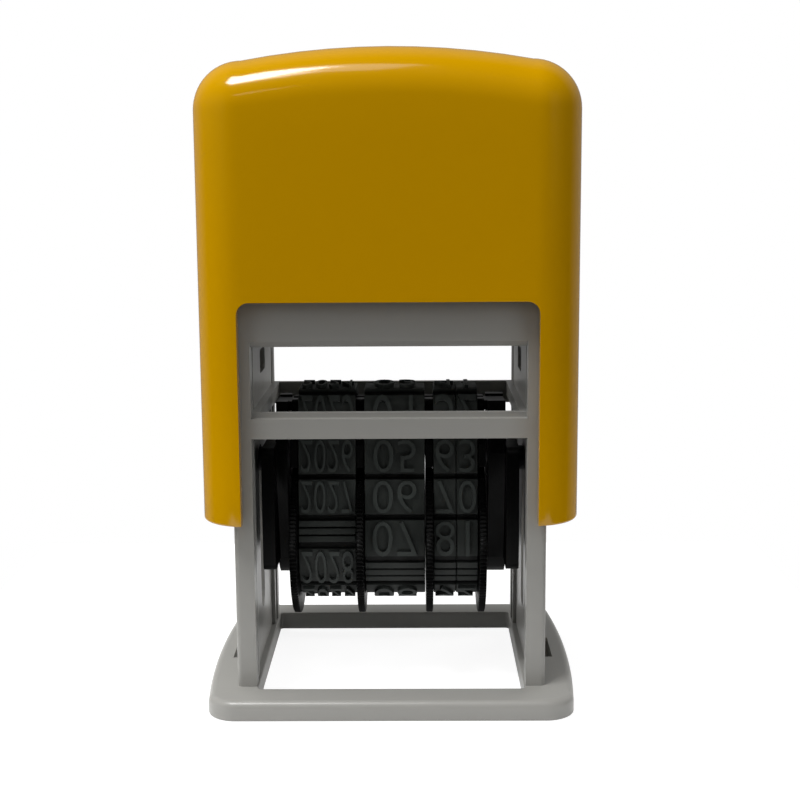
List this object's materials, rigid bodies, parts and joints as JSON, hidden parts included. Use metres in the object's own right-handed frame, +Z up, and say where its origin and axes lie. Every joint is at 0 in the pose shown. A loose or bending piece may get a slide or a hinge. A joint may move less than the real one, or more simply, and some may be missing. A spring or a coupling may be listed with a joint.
{
  "type": "date stamp",
  "caption": "Self-inking date stamp: a soft-cornered cap slides down an open frame on a base ring and turns over a carrier with toothed thumbwheels and rubber date bands.",
  "frame": {"origin": "under the middle of the base ring, on the surface the stamp stands on", "axes": "+Z up along the cap's stroke, +X along the printed line to the right as seen from the front, +Y to the back"},
  "size_m": [0.0382, 0.0326, 0.0659],
  "materials": {
    "cap_plastic": "satin moulded plastic, golden yellow",
    "frame_plastic": "satin moulded plastic, light warm grey",
    "carrier_plastic": "moulded plastic, black",
    "band_rubber": "dull moulded rubber, near black",
    "steel": "plain drawn wire and pin steel"
  },
  "bodies": {
    "frame": {"frame": "frame_plastic", "base_ring": "frame_plastic"},
    "cap": {"cap_shell": "cap_plastic", "yoke": "frame_plastic", "return_spring": "steel"},
    "carrier": {"left_cheek": "carrier_plastic", "right_cheek": "carrier_plastic", "platen": "carrier_plastic", "band_divider_1": "carrier_plastic", "band_divider_2": "carrier_plastic", "band_divider_3": "carrier_plastic", "band_divider_4": "carrier_plastic", "date_band_1": "band_rubber", "date_band_2": "band_rubber", "date_band_3": "band_rubber", "date_band_4": "band_rubber", "wheel_axle": "steel", "left_pivot_pin": "steel", "right_pivot_pin": "steel"},
    "wheel_1": {"thumbwheel_1": "carrier_plastic"},
    "wheel_2": {"thumbwheel_2": "carrier_plastic"},
    "wheel_3": {"thumbwheel_3": "carrier_plastic"},
    "wheel_4": {"thumbwheel_4": "carrier_plastic"}
  },
  "joints": [
    {"name": "cap_press", "type": "slide", "parent": "frame", "child": "cap", "axis": [0, 0, -1], "range_m": [0, 0.015], "stiffness_N_per_m": 400, "springref_m": -0.01, "deforming": ["return_spring"]},
    {"name": "carrier_flip", "type": "hinge", "parent": "cap", "child": "carrier", "pos_m": [0, 0, 0.02337], "axis": [1, 0, 0], "range_deg": [0, 180]},
    {"name": "wheel_1_turn", "type": "hinge", "parent": "carrier", "child": "wheel_1", "pos_m": [0, 0, 0.01468], "axis": [1, 0, 0], "continuous": true},
    {"name": "wheel_2_turn", "type": "hinge", "parent": "carrier", "child": "wheel_2", "pos_m": [0, 0, 0.01468], "axis": [1, 0, 0], "continuous": true},
    {"name": "wheel_3_turn", "type": "hinge", "parent": "carrier", "child": "wheel_3", "pos_m": [0, 0, 0.01468], "axis": [1, 0, 0], "continuous": true},
    {"name": "wheel_4_turn", "type": "hinge", "parent": "carrier", "child": "wheel_4", "pos_m": [0, 0, 0.01468], "axis": [1, 0, 0], "continuous": true}
  ],
  "couplings": [
    {"joint": "carrier_flip", "follows": "cap_press", "rad_per_m": 209.44}
  ]
}
